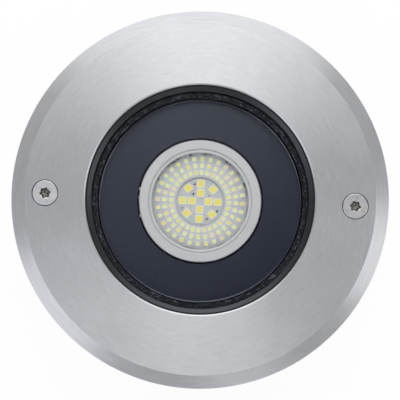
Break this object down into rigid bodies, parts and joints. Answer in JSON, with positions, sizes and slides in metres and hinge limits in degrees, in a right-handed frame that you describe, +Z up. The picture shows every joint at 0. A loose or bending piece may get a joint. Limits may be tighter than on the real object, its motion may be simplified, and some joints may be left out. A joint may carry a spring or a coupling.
{
  "type": "in ground well light",
  "caption": "Round buried well light: brushed steel bezel over clear glass, with a tilting reflector-size LED lamp in a cast pot, held in a ground sleeve.",
  "frame": {"origin": "centre of the sleeve's foot, on the bottom of the buried hole", "axes": "+Z up along the light's axis, towards the glass; the two bezel screws lie on the X axis, and the lamp tilts about the X direction"},
  "size_m": [0.15, 0.15, 0.15],
  "materials": {
    "sleeve_plastic": "moulded black plastic, lightly textured",
    "insert_brass": "turned brass",
    "housing_coat": "black wrinkle powder coat on cast aluminium",
    "zinc_steel": "zinc plated steel",
    "spring_steel": "spring steel, dull",
    "terminal_nylon": "natural nylon",
    "gland_nylon": "black nylon",
    "black_rubber": "smooth black rubber",
    "brushed_stainless": "stainless steel brushed in circles",
    "screw_stainless": "stainless steel, fine turned",
    "clear_glass": "clear tempered glass",
    "plate_paint": "dark blue-grey satin paint",
    "holder_ceramic": "unglazed white ceramic",
    "lamp_metal": "silver satin coat on cast aluminium",
    "lamp_ring_metal": "satin silver",
    "lens_plastic": "clear moulded lens",
    "board_white": "pale solder mask, semi-gloss",
    "led_phosphor": "yellow phosphor under clear silicone",
    "circuit_green": "green solder mask",
    "lamp_base_plastic": "white moulded plastic",
    "pin_metal": "nickel plated pins"
  },
  "bodies": {
    "sleeve": {"mounting_sleeve": "sleeve_plastic", "threaded_inserts": "insert_brass"},
    "housing": {"housing_body": "housing_coat", "pivot_straps": "zinc_steel", "pivot_washers": "spring_steel", "pivot_screws": "zinc_steel", "pivot_nuts": "zinc_steel", "strap_screws": "zinc_steel", "terminal_block": "terminal_nylon", "terminal_barrels": "insert_brass", "terminal_screws": "zinc_steel", "block_screws": "zinc_steel", "earth_screw": "insert_brass", "earth_washer": "spring_steel", "gland_bodies": "gland_nylon", "gland_washers": "black_rubber", "gland_locknuts": "gland_nylon", "gland_seals": "black_rubber", "gland_dome_nuts": "gland_nylon"},
    "cover": {"bezel_ring": "brushed_stainless", "bezel_screws": "screw_stainless", "glass_disc": "clear_glass", "glass_gasket": "black_rubber"},
    "gimbal": {"gimbal_plate": "plate_paint", "pivot_ears": "zinc_steel", "lampholder_bracket": "zinc_steel", "plate_studs": "zinc_steel", "stud_nuts": "zinc_steel", "lampholder_base": "holder_ceramic", "lampholder_cap": "holder_ceramic", "holder_contacts": "insert_brass", "holder_screws": "zinc_steel"},
    "lamp": {"lamp_shell": "lamp_metal", "lamp_front_ring": "lamp_ring_metal", "lamp_lens": "lens_plastic", "led_board": "board_white", "led_centre_board": "board_white", "led_chips_large": "led_phosphor", "led_chips_small": "led_phosphor", "lamp_driver_board": "circuit_green", "lamp_base": "lamp_base_plastic", "lamp_pins": "pin_metal"}
  },
  "joints": [
    {"name": "housing_lift", "type": "slide", "parent": "sleeve", "child": "housing", "axis": [0, 0, 1], "range_m": [0, 0.15]},
    {"name": "cover_lift", "type": "slide", "parent": "housing", "child": "cover", "axis": [0, 0, 1], "range_m": [0, 0.06]},
    {"name": "lamp_tilt", "type": "hinge", "parent": "housing", "child": "gimbal", "pos_m": [0, 0, 0.119], "axis": [1, 0, 0], "range_deg": [-15, 15]},
    {"name": "lamp_twist", "type": "hinge", "parent": "gimbal", "child": "lamp", "pos_m": [0, 0, 0.1], "axis": [0, 0, 1], "range_deg": [0, 20]}
  ]
}
